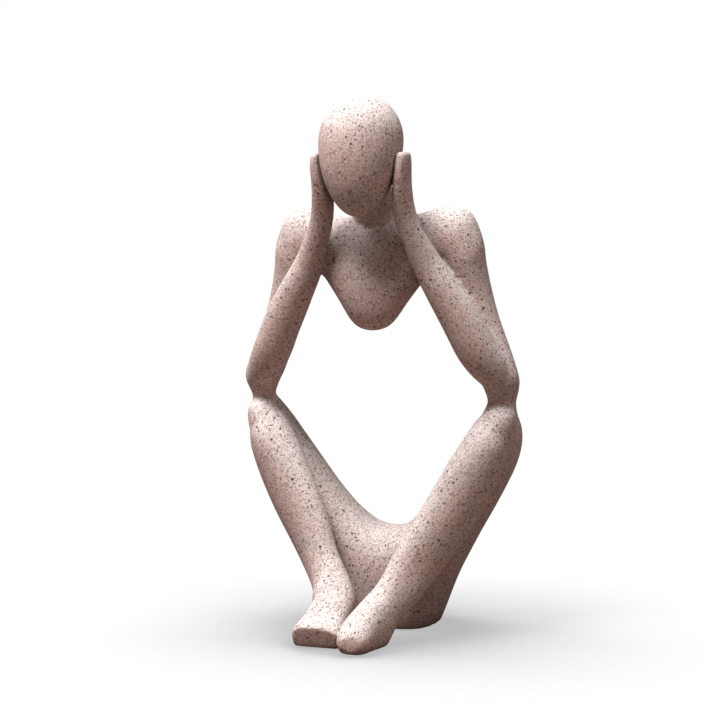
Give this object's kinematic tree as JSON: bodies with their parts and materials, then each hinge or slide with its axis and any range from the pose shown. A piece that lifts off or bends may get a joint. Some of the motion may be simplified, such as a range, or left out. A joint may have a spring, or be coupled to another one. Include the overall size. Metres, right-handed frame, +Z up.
{
  "type": "seated thinker figurine",
  "caption": "Faceless seated thinker in speckled stone resin, chin in its hands and elbows on its knees, doweled together, on soft pads.",
  "frame": {"origin": "middle of the underside of the pad under the seat, on the surface that the figure stands on", "axes": "+X to the figure's left, +Y to its back, +Z up; the figure faces -Y"},
  "size_m": [0.1348, 0.0949, 0.2505],
  "materials": {
    "stone_resin": "warm pinkish grey cast stone resin, matt and gritty, with dense fine dark and rusty speckles",
    "dowel_steel": "plain drawn steel rod with small end chamfers",
    "pad_foam": "thin soft cream foam pad, matt"
  },
  "bodies": {
    "root": {"head": "stone_resin", "torso": "stone_resin", "left_arm": "stone_resin", "right_arm": "stone_resin", "seat": "stone_resin", "left_leg": "stone_resin", "right_leg": "stone_resin", "neck_pin": "dowel_steel", "left_shoulder_pin": "dowel_steel", "right_shoulder_pin": "dowel_steel", "left_elbow_pin": "dowel_steel", "right_elbow_pin": "dowel_steel", "left_hip_pin": "dowel_steel", "right_hip_pin": "dowel_steel", "left_palm_pin": "dowel_steel", "right_palm_pin": "dowel_steel", "foot_pin": "dowel_steel", "seat_pad": "pad_foam", "left_foot_pad": "pad_foam", "right_foot_pad": "pad_foam"}
  },
  "joints": []
}
